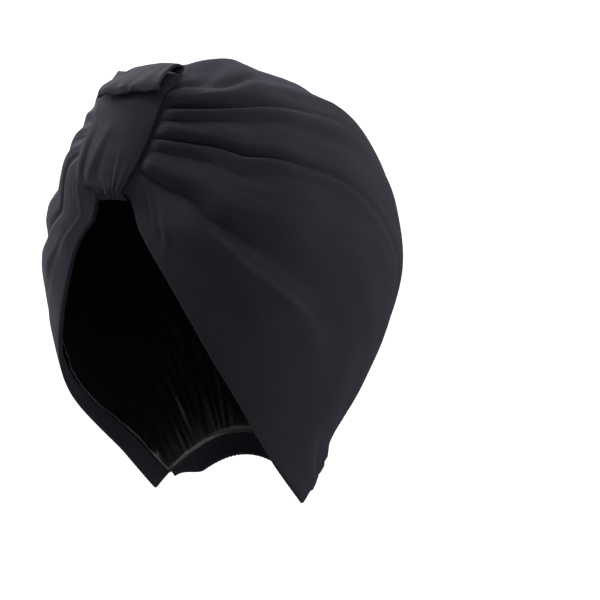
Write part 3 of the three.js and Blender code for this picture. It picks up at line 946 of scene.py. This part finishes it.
@dataclass
class CapSheet(ClothPiece):
    """A sheet over the whole cap, from one hem over the middle to the other.

    Attributes:
        rows: Facets from the knot to the nape.
        per_line: Facets between two fold lines.
        wall: Thickness.
        hem_step: Share over which the cloth's span at the hem is measured.
        spans: Rough lengths of the cap along and up, on which the wrinkles are laid.
        row_power: How sharply the rows close up at the knot.
        row_share: How far they follow that power.
    """

    held: ClassVar[str] = "gathered"
    rows: int = 164
    per_line: int = 8
    wall: float = 1.1
    hem_step: float = 0.1
    spans: tuple[float, float] = (300.0, 220.0)
    row_power: float = 1.5
    row_share: float = 0.55

    def places(self) -> tuple[np.ndarray, np.ndarray]:
        """Give the places along the cap, closer at the knot, and the columns of one half."""
        even = np.linspace(0, 1, self.rows + 1)
        columns = np.linspace(0, LINES, LINES * self.per_line + 1)
        return lerp(even, even**self.row_power, self.row_share), columns

    def hem_share(self, rows: np.ndarray, depth: float, most: float, near: bool) -> np.ndarray:
        """Give the share of the way up that a depth in from the hem takes, as one column."""
        span = SHELL.point(rows, self.hem_step, near) - SHELL.point(rows, 0.0, near)
        length = np.linalg.norm(span, axis=-1) / self.hem_step
        return np.minimum(depth / np.maximum(length, 1), most)[:, None]

    def half(self, near: bool) -> np.ndarray:
        """Draw one half of the sheet, from its hem to the middle."""
        raise NotImplementedError

    def grid(self) -> ClothGrid:
        """Draw the whole sheet."""
        return ClothGrid(self.name, both_sides(self.half), self.wall, weld=True)


@dataclass
class CrownSheet(CapSheet):
    """The outer jersey with its pleats, its hem turned in round the face, and its nape gathers."""

    name: ClassVar[str] = "turban_crown"
    node: ClassVar[str] = "crown"
    rests_on: ClassVar[list[str]] = ["turban_lining"]
    outside: float = 1.0
    facing: float = -0.5
    hem_depth: float = 13.0
    hem_most: float = 0.12
    hem_rows: int = 5
    turn_rows: int = 6
    inward_step: float = 0.02
    swell: float = 0.4
    swell_waves: Waves = Waves(3, 9, 60.0)
    swell_run: Run = (0.12, 0.15)
    swell_free: float = 0.12
    drag: float = 0.28
    drag_waves: Waves = Waves(5, 7, 26.0)
    drag_stretch: tuple[float, float] = (1.6, 0.25)
    drag_free: float = 0.15
    drag_run: Run = (0.3, 0.6)
    nape_start: float = 0.84
    nape_lift: float = 1.7
    nape_share: tuple[float, float] = (0.5, 0.34)
    nape_free: float = 1.5
    gathers: Gathers = Gathers(math.tau, 1.2, 1.7, 0.45, 1.618, 0.8)
    corner_puff: float = 2.2
    corner_at: tuple[float, float] = (0.984, 0.3)
    corner_size: tuple[float, float] = (0.014, 0.12)
    floor_free: float = 0.12
    floor_run: Run = (0.6, 0.2)

    def lift(
        self, along: np.ndarray, column: np.ndarray, share: np.ndarray, near: bool
    ) -> np.ndarray:
        """Give the height of the outer cloth above the base surface.

        Args:
            along: The way from the knot to the nape.
            column: Places counted in fold lines.
            share: The way from the hem to the middle of the crown.
            near: Whether the half is on the wearer's left.

        Returns:
            Heights in millimetres.
        """
        free = ease(along, (FOLD_START, FOLD_RISE))
        lift = fold_lift(FOLDS[near], column, along) * free
        if near:
            lift = lift + crease_lift(NEAR_CREASES, along, share) * free
        body = ease(along, self.swell_run) * smooth(share / self.swell_free)
        u, v = along * self.spans[0], share * self.spans[1]
        lift = lift + self.swell * body * ripples(u, v, self.swell_waves, not near)
        wide, long = self.drag_stretch
        drag = ripples(v * wide, u * long, self.drag_waves, not near)
        fading = smooth(share / self.drag_free) * free * (1 - ease(along, self.drag_run))
        lift = lift + self.drag * drag * fading
        nape = ease(along, (self.nape_start, 1 - self.nape_start))
        level, wavy = self.nape_share
        gather = self.nape_lift * (level + wavy * self.gathers.height(column))
        gather = gather * smooth(column / self.nape_free)
        puff = bell((along - self.corner_at[0]) / self.corner_size[0])
        puff = puff * bell((share - self.corner_at[1]) / self.corner_size[1])
        floor = FOLD_FLOOR * smooth(share / self.floor_free) * (1 - ease(along, self.floor_run))
        return np.maximum(floor, lerp(lift, gather + self.corner_puff * puff, nape))

    def half(self, near: bool) -> np.ndarray:
        """Draw one half of the crown, from the facing's free edge round the hem to the middle."""
        rows, columns = self.places()
        along, column = np.meshgrid(rows, columns, indexing="ij")
        share = fold_shares(FOLDS[near], column, along)
        lift = self.lift(along, column, share, near)
        cloth = SHELL.lifted(along, share, self.outside + lift, near)
        edge, out = SHELL.point(rows, 0.0, near), SHELL.normal(rows, np.zeros_like(rows), near)
        inward = unit(SHELL.point(rows, self.inward_step, near) - edge)
        top = self.outside + lift[:, :1]
        middle, radius = (top + self.facing) / 2, (top - self.facing) / 2
        turn = math.pi * (1 - np.arange(self.turn_rows) / self.turn_rows)[None, :]
        height = (middle + radius * np.cos(turn))[..., None]
        drop = (-radius * np.sin(turn))[..., None]
        round_hem = edge[:, None] + out[:, None] * height + inward[:, None] * drop
        fractions = (1 - np.arange(self.hem_rows) / self.hem_rows)[None, :]
        deep = self.hem_share(rows, self.hem_depth, self.hem_most, near) * fractions
        wide_rows = np.broadcast_to(rows[:, None], deep.shape)
        under = SHELL.lifted(wide_rows, deep, self.facing, near)
        sheet = np.concatenate([under, round_hem, cloth], axis=1)
        sheet[0, :, 0] = 0
        return sheet


@dataclass
class LiningSheet(CapSheet):
    """The satin inside, sewn over the turned hem and puckered at the nape and the brow."""

    name: ClassVar[str] = "turban_lining"
    node: ClassVar[str] = "lining"
    finish: ClassVar[ClothFinish] = SATIN
    rests_on: ClassVar[list[str]] = ["turban_crown"]
    rows: int = 120
    per_line: int = 6
    wall: float = 0.5
    middle: float = -1.62
    border: float = 11.0
    border_most: float = 0.1
    hem_free: float = 0.12
    pucker: float = 0.9
    pucker_waves: Waves = Waves(11, 6, 9.0)
    pucker_shares: tuple[float, float, float] = (0.15, 0.85, 0.6)
    nape_run: Run = (0.7, 0.25)
    brow_run: Run = (0.1, 0.25)
    rim: float = 0.9
    rim_waves: Waves = Waves(13, 6, 11.0)
    rim_depth: float = 0.16
    rim_run: Run = (0.2, 0.2)
    slow: float = 0.7
    slow_waves: Waves = Waves(15, 8, 48.0)
    deepest: float = 2.4
    start_run: Run = (0.1, 0.12)
    end_run: Run = (1.02, -0.1)
    stretch: float = 0.12

    def half(self, near: bool) -> np.ndarray:
        """Draw one half of the lining."""
        rows, columns = self.places()
        along, column = np.meshgrid(rows, columns, indexing="ij")
        start = self.hem_share(rows, self.border, self.border_most, near)
        share = lerp(start * smooth(along / self.hem_free), 1.0, column / LINES)
        u, v = along * self.spans[0], share * self.spans[1]
        pucker = 0.5 + 0.5 * ripples(v, u * self.stretch, self.pucker_waves, not near)
        least, nape, brow = self.pucker_shares
        ends = least + nape * ease(along, self.nape_run) + brow * (1 - ease(along, self.brow_run))
        side = 0.5 + 0.5 * ripples(u, v * self.stretch, self.rim_waves, not near)
        rim = 1 - smooth((share - start) / self.rim_depth)
        slow = 0.5 + 0.5 * ripples(u, v, self.slow_waves, not near)
        depth = self.pucker * pucker * ends
        depth = depth + self.rim * side * rim * ease(along, self.rim_run) + self.slow * slow
        depth = np.clip(depth, 0, self.deepest) * ease(along, self.start_run)
        depth = depth * ease(along, self.end_run)
        cloth = SHELL.lifted(along, share, self.middle - depth, near)
        cloth[0, :, 0] = 0
        return cloth


class BandFold(NamedTuple):
    """A gather on the knot band, from its squeezed bottom upward."""

    low: float
    high: float
    lift: float
    width: float
    reach: float


@dataclass
class KnotBand(ClothPiece):
    """The strap that gathers the pleats over the forehead."""

    name: ClassVar[str] = "turban_knot_band"
    node: ClassVar[str] = "knot_band"
    held: ClassVar[str] = "folded"
    rests_on: ClassVar[list[str]] = ["turban_crown"]
    wall: float = 1.7
    crown_wall: float = 1.6
    seat_gap: float = 0.6
    lining_gap: float = 1.1
    lining_wall: float = 1.0
    inside_gap: float = 1.2
    inside_share: float = 0.2
    turn_width: float = 0.82
    low_width: tuple[float, float] = (0.78, 1.05)
    widened_by: float = 0.35
    bow: float = 0.5
    wrinkle: float = 0.12
    wrinkle_waves: Waves = Waves(21, 6, 18.0)
    half_size: tuple[float, float] = (22.0, 56.0)
    smoothed_run: Run = (0.9, 0.1)
    top_relief: float = 0.4
    top_width: float = 1.05
    top_run: float = 17.0
    top_rise: float = 0.012
    top_crown: float = 2.5
    top_seat: float = 0.4
    edge: float = 1.0
    across: int = 96
    closer: float = 0.35
    rows: tuple[int, int, int, int, int] = (10, 14, 90, 10, 18)
    folds: tuple[BandFold, ...] = (
        BandFold(-0.93, -0.84, 0.8, 0.05, 0.90),
        BandFold(-0.83, -0.66, -1.0, 0.05, 0.80),
        BandFold(-0.72, -0.16, 1.1, 0.08, 1.00),
        BandFold(-0.46, -0.20, -0.8, 0.06, 0.66),
        BandFold(-0.26, -0.12, 0.5, 0.06, 0.55),
        BandFold(-0.02, 0.02, -0.7, 0.05, 0.56),
        BandFold(0.14, 0.14, 0.5, 0.07, 0.50),
        BandFold(0.40, 0.34, -0.35, 0.06, 0.36),
        BandFold(0.62, 0.56, 0.45, 0.09, 0.60),
        BandFold(0.84, 0.74, -0.45, 0.05, 0.40),
    )

    def relief(self, side: np.ndarray, up: float) -> np.ndarray:
        """Give the height of the gathers across the band at one height."""
        total = np.zeros_like(side)
        for fold in self.folds:
            centre = lerp(fold.low, fold.high, up)
            fade = 1 - smooth(up / fold.reach)
            total += fold.lift * fade * bell((side - centre) / (fold.width * (1 + up)))
        total += self.bow * up * (1 - up) * 4 * (1 - side**2)
        wide, high = self.half_size
        rough = ripples(side * wide, np.full_like(side, up * high), self.wrinkle_waves)
        return total + self.wrinkle * rough

    def grid(self) -> ClothGrid:
        """Draw the strap from inside the hem, round it, up the face and back along the top."""
        outside = self.crown_wall + self.seat_gap + self.wall / 2
        inside = -(self.lining_gap + self.lining_wall + self.inside_gap + self.wall / 2)
        radius = (outside - inside) / 2
        lean = math.atan2(
            SHELL.bundle_y[1] - SHELL.bundle_y[0], SHELL.bundle_z[1] - SHELL.bundle_z[0]
        )
        outward = np.array([0, -math.cos(lean), math.sin(lean)])
        slope = math.atan(SHELL.cap_rise)
        above = np.array([0, -math.sin(slope), math.cos(slope)])
        back = np.array([0, math.cos(slope), math.sin(slope)])
        side = 1 - 2 * spaced(self.across, self.closer)
        flat = np.zeros_like(side)
        lines: list[np.ndarray] = []

        def add(
            share: float, shift: np.ndarray, lift: np.ndarray, way: np.ndarray, width: np.ndarray
        ) -> None:
            """Add a row at a share of the way up, shifted, and lifted in a direction."""
            halves = (
                SHELL.bundle_point(np.abs(side) * width, np.full_like(side, share), on_left)
                for on_left in (True, False)
            )
            row = np.where((side > 0)[:, None], *halves)
            row[:, 0] *= np.sign(side)
            lines.append(row + shift + way * lift[:, None])

        inner, turned, face, corner, top = self.rows
        low_width = np.where(side > 0, *self.low_width)
        bottom = self.relief(side, 0.0)
        for i in range(inner):
            share = self.inside_share * (1 - i / inner)
            add(share, outward * inside, flat, outward, self.turn_width)
        for i in range(turned):
            turn = math.pi * i / turned
            way = -outward * math.cos(turn) + np.array([0, 0, -math.sin(turn)])
            middle = outward * (outside + inside) / 2
            eased = smooth(turn / math.pi)
            width = lerp(self.turn_width, low_width, eased)
            add(0.0, middle + way * radius, bottom * eased, way, width)
        for i in range(face + 1):
            up = i / face
            hold = 1 - ease(up, self.smoothed_run) * (1 - self.top_relief)
            width = lerp(low_width, 1.0, smooth(up / self.widened_by))
            lift = self.relief(side, up) * hold
            add(SHELL.corner * up, outward * outside, lift, outward, width)
        last = self.relief(side, 1.0) * self.top_relief
        for i in range(1, corner + 1):
            way = unit(lerp(outward, above, i / corner))
            add(SHELL.corner, way * (outside + self.top_seat * i / corner), last, way, 1.0)
        for i in range(1, top + 1):
            run = self.top_run * i / top
            shift = above * (outside + self.top_seat + self.top_rise * run * run) + back * run
            crown = self.top_crown * math.sin(math.pi * i / top) * (1 - side**2)
            add(SHELL.corner, shift, last + crown, above, lerp(1.0, self.top_width, i / top))
        grid = ClothGrid(self.name, np.array(lines), self.wall)
        grid.round_edges(self.edge, self.edge, self.edge)
        return grid


class TailEdge(NamedTuple):
    """A row of the folded tail: where its two side edges are."""

    right_y: float
    right_z: float
    left_y: float
    left_z: float
    left_width: float


@dataclass
class BandTail(ClothPiece):
    """The tail folded forward over the band's top."""

    name: ClassVar[str] = "turban_band_tail"
    node: ClassVar[str] = "band_tail"
    held: ClassVar[str] = "folded"
    rests_on: ClassVar[list[str]] = ["turban_knot_band"]
    wall: float = 1.8
    right_width: float = 23.5
    bulge: float = 2.6
    lip_share: float = 0.4
    length: float = 40.0
    soft: float = 0.3
    soft_waves: Waves = Waves(31, 7, 22.0)
    soft_run: Run = (0.8, -0.3)
    hem_ridge: float = 0.5
    hem_at: float = 0.13
    hem_slant: float = 0.02
    hem_width: float = 0.035
    groove: float = 0.8
    groove_at: float = 0.55
    groove_width: float = 0.03
    pucker: float = 0.4
    puckers: Gathers = Gathers(15.0, 1.2, 6.0)
    pucker_at: float = 0.1
    pucker_width: float = 0.09
    lip_wave: float = 0.45
    lip_width: float = 0.16
    curl: float = 1.2
    curl_run: Run = (0.6, 0.4)
    curl_at: float = 0.42
    curl_width: float = 0.24
    edge: float = 1.0
    rows: int = 110
    across: int = 80
    closer: tuple[float, float] = (0.25, 0.4)
    edges: tuple[TailEdge, ...] = (
        TailEdge(-81.2, -10.8, -79, -5.4, 18.2),  # lip
        TailEdge(-77.5, -5.6, -75.6, -1.2, 16.6),  # shoulder
        TailEdge(-63, -0.4, -66.5, 3.2, 14.4),  # middle
        TailEdge(-50, 3, -58, 6.4, 14.2),  # back
        TailEdge(-46.6, 2.6, -54, 5, 15.4),  # turn
        TailEdge(-50.5, 0.9, -57.6, 2, 15.4),  # return
    )

    def grid(self) -> ClothGrid:
        """Draw the tail from its front lip back over the band to its turned end."""
        at = spaced(self.rows, self.closer[0])[:, None]
        side = 1 - 2 * spaced(self.across, self.closer[1])[None, :]
        at, side = np.broadcast_arrays(at, side)
        places = [i / (len(self.edges) - 1) for i in range(len(self.edges))]
        right_y, right_z, left_y, left_z, left_width = (
            curve_at(places, column, at) for column in zip(*self.edges)
        )
        to_left = (side + 1) / 2
        bulge = self.bulge * (1 - side**2)
        y = lerp(right_y, left_y, to_left) - bulge * (1 - at)
        z = lerp(right_z, left_z, to_left) + bulge * lerp(self.lip_share, 1, at)
        half = np.where(side > 0, left_width, self.right_width)
        soft = ripples(half * side, at * self.length, self.soft_waves)
        z = z + self.soft * soft * ease(at, self.soft_run)
        hem = bell((at - self.hem_at - self.hem_slant * side) / self.hem_width)
        hem = hem - self.groove * bell((at - self.groove_at * self.hem_at) / self.groove_width)
        pucker = self.pucker * self.puckers.height(side)
        pucker = pucker * bell((at - self.pucker_at) / self.pucker_width)
        z = z + (self.hem_ridge * hem + pucker) * (0.6 + 0.4 * np.cos(side * 4.0 + 1.0))
        z = z + self.lip_wave * np.sin(side * 7.5 + 0.6) * bell(at / self.lip_width)
        curl = ease(side, self.curl_run) * bell((at - self.curl_at) / self.curl_width)
        z = z + self.curl * curl
        grid = ClothGrid(self.name, np.stack([half * side, y, z], -1), self.wall)
        grid.round_edges(self.edge, self.edge, self.edge)
        return grid


@dataclass
class NapeCasing(ClothPiece):
    """The ruffled casing of the elastic, hung from the nape edge."""

    name: ClassVar[str] = "turban_nape_casing"
    node: ClassVar[str] = "nape_casing"
    held: ClassVar[str] = "gathered"
    rests_on: ClassVar[list[str]] = ["turban_crown"]
    wall: float = 2.2
    start: float = 0.12
    ramp: float = 0.2
    seat: float = 0.7
    under: float = -2.4
    tucked: float = -0.45
    clear_by: float = 0.2
    height: float = 12.0
    end_height: float = 4.0
    crown_wall: float = 1.6
    ruffle: float = 1.5
    frills: Gathers = Gathers(30.0 * math.tau, 1.3, 17.0, 0.4, 1.7, 1.0)
    puff_pace: float = 1.08
    puff_power: float = 0.6
    puff_wave: float = 0.55
    puff_lift: float = 0.5
    flare: float = 0.35
    flare_run: Run = (0.75, 0.25)
    edges: tuple[float, float, float] = (1.4, 3.2, 1.2)
    rows: int = 24
    per_side: int = 200
    closer: tuple[float, float] = (0.2, 0.15)
    onward_from: float = 0.99

    def half(self, near: bool) -> np.ndarray:
        """Draw one half of the casing, from its end to the middle of the nape."""
        share = lerp(self.start, 1.0, spaced(self.per_side, self.closer[1]))
        ones = np.ones_like(share)
        point, out = SHELL.point(ones, share, near), SHELL.normal(ones, share, near)
        onward = unit(point - SHELL.point(self.onward_from * ones, share, near))
        onward[-1, 0] = 0
        full = ease(share, (self.start, self.ramp))
        height = lerp(self.end_height, self.height, full)
        wave = self.frills.height(share)
        lines = []
        for drop in spaced(self.rows, self.closer[0]):
            puff = math.sin(math.pi * min(1, drop * self.puff_pace)) ** self.puff_power
            waving = self.puff_wave * puff + self.flare * ease(drop, self.flare_run)
            move = self.ruffle * full * wave * waving + self.puff_lift * puff * full
            clear = smooth(drop / self.clear_by)
            offset = lerp(self.tucked, self.crown_wall / 2 + move, clear)
            start = lerp(self.under, self.seat, clear)
            lines.append(
                point + onward * (start + height * drop)[:, None] + out * offset[:, None]
            )
        return np.array(lines)

    def grid(self) -> ClothGrid:
        """Draw the whole casing."""
        grid = ClothGrid(self.name, both_sides(self.half), self.wall)
        grid.round_edges(*self.edges)
        return grid


# The studio


def direction(azimuth: float, elevation: float) -> Vector:
    """Give the way from the wrap out to an azimuth and elevation in degrees."""
    turn, tilt = math.radians(azimuth), math.radians(elevation)
    flat = math.cos(tilt)
    return Vector((math.sin(turn) * flat, -math.cos(turn) * flat, math.sin(tilt)))


def set_up(name: str, data: bpy.types.ID, location: Vector, ahead: Vector) -> bpy.types.Object:
    """Add a lamp or a camera at a location, facing ahead."""
    thing = bpy.data.objects.new(name, data)
    bpy.context.scene.collection.objects.link(thing)
    thing.location = location
    thing.rotation_euler = ahead.to_track_quat("-Z", "Y").to_euler()
    return thing


@dataclass(frozen=True)
class SoftBox:
    """A soft rectangular light, aimed at the wrap."""

    name: str
    azimuth: float
    elevation: float
    distance: float
    size: float
    power: float
    colour: tuple[float, float, float] = (1.0, 1.0, 1.0)


@dataclass
class Studio:
    """The pale floor, the soft lights and the camera."""

    floor_level: float = -2.6
    floor_size: float = 240.0
    floor_grey: float = 0.4
    floor_glow: float = 1.05
    surround: float = 0.44
    aim: tuple[float, float, float] = (0.0, 0.01, -0.11)
    boxes: tuple[SoftBox, ...] = (
        SoftBox("overhead", 10, 72, 1.5, 1.1, 1.5),
        SoftBox("key_left", -55, 45, 1.8, 0.9, 17.0),
        SoftBox("front", 20, 10, 2.2, 1.2, 2.0),
        SoftBox("rim_right", 140, 18, 1.6, 0.8, 5.0, (0.93, 0.95, 1.0)),
        SoftBox("rim_left", -105, 28, 1.6, 0.8, 15.0, (0.95, 0.96, 1.0)),
        SoftBox("low_right", 95, -25, 1.8, 0.9, 7.0),
    )
    azimuth: float = 38.0
    elevation: float = 5.5
    distance: float = 3.0
    metres_per_pixel: float = 0.00056
    frame_pixels: int = 600
    anchor: tuple[float, float, float] = (0.0, -0.097, -0.066)
    anchor_pixel: tuple[float, float] = (113.0, 202.0)
    sensor: float = 36.0
    clip: tuple[float, float] = (0.1, 400.0)

    def floor(self) -> None:
        """Lay the plain pale floor."""
        deselect()
        bpy.ops.mesh.primitive_plane_add(size=self.floor_size, location=(0, 0, self.floor_level))
        floor = bpy.context.active_object
        floor.name = "floor"
        bpy.ops.object.transform_apply(location=True, rotation=True, scale=True)
        material = bpy.data.materials.new("floor")
        material.use_nodes = True
        wires = Wiring(material.node_tree)
        seen = wires.add("ShaderNodeLightPath").outputs["Is Camera Ray"]
        wires.fill(
            material.node_tree.nodes["Principled BSDF"],
            {
                "Base Color": (*[self.floor_grey] * 3, 1.0),
                "Roughness": 0.9,
                "Specular IOR Level": 0.0,
                "Emission Color": WHITE,
                "Emission Strength": wires.math("MULTIPLY", seen, self.floor_glow),
            },
        )
        floor.data.materials.append(material)

    def lights(self) -> None:
        """Set the pale surroundings and the soft boxes."""
        world = bpy.data.worlds.new("pale_surroundings")
        world.use_nodes = True
        wires = Wiring(world.node_tree)
        seen = wires.add("ShaderNodeLightPath").outputs["Is Camera Ray"]
        glow = wires.math("MULTIPLY_ADD", seen, self.floor_glow, self.surround)
        wires.fill(world.node_tree.nodes["Background"], {"Color": WHITE, "Strength": glow})
        bpy.context.scene.world = world
        for box in self.boxes:
            light = bpy.data.lights.new(box.name, "AREA")
            light.shape = "SQUARE"
            light.size = box.size
            light.energy = box.power
            light.color = box.colour
            away = direction(box.azimuth, box.elevation)
            set_up(box.name, light, Vector(self.aim) + away * box.distance, -away)

    def camera(self) -> None:
        """Place the camera so that the anchor falls on its pixel of the photograph."""
        turn = math.radians(self.azimuth)
        ahead = -direction(self.azimuth, self.elevation)
        aside = Vector((math.cos(turn), math.sin(turn), 0))
        above = aside.cross(ahead)
        place = Vector(self.aim) - ahead * self.distance
        focal = self.distance / self.metres_per_pixel
        sight = Vector(self.anchor) - place
        depth = sight.dot(ahead)
        middle_x = self.anchor_pixel[0] - focal * sight.dot(aside) / depth
        middle_y = self.anchor_pixel[1] + focal * sight.dot(above) / depth
        half = self.frame_pixels / 2
        axis = ahead + aside * (half - middle_x) / focal - above * (half - middle_y) / focal
        data = bpy.data.cameras.new("photo_camera")
        data.sensor_width = self.sensor
        data.lens = data.sensor_width * focal / self.frame_pixels
        data.clip_start, data.clip_end = self.clip
        bpy.context.scene.camera = set_up("photo_camera", data, place, axis.normalized())

    def build(self) -> None:
        """Set up the floor, the lights and the camera."""
        self.camera()
        self.floor()
        self.lights()


def main() -> None:
    """Load the frame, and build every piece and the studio."""
    logging.basicConfig(level=logging.INFO, format="%(name)s: %(message)s")
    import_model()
    Studio().build()
    for piece in (CrownSheet(), LiningSheet(), KnotBand(), BandTail(), NapeCasing()):
        piece.build()
    bpy.context.scene.view_settings.view_transform = "Standard"


if __name__ == "__main__":
    main()
